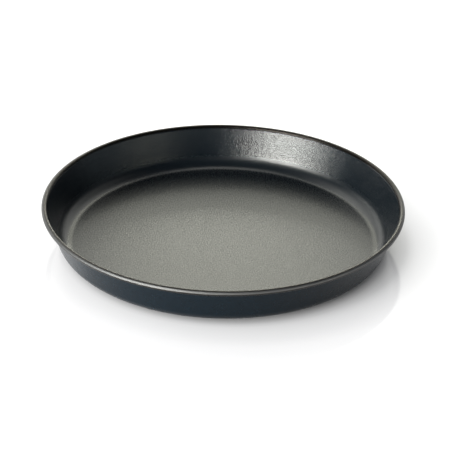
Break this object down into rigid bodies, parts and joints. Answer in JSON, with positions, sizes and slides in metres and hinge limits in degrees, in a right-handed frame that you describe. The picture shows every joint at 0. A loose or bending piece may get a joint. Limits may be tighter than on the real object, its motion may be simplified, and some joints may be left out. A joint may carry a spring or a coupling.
{
  "type": "pizza pan",
  "caption": "Round shallow pizza pan of pressed steel with a flared wall and a rim rolled round a wire, textured non-stick inside and smooth dark lacquer outside.",
  "frame": {"origin": "centre of the flat underside, on the surface that the pan stands on", "axes": "+Z is the pan's own axis, pointing up out of its open side; X and Y lie in the plane of the base, and the pan is the same all round"},
  "size_m": [0.28, 0.28, 0.0335],
  "materials": {
    "sheet_steel": "satin",
    "wire_steel": "satin",
    "nonstick": "satin",
    "lacquer": "satin"
  },
  "bodies": {
    "root": {"pan_shell": "sheet_steel", "rim_wire": "wire_steel", "nonstick_coating": "nonstick", "outer_lacquer": "lacquer"}
  },
  "joints": []
}
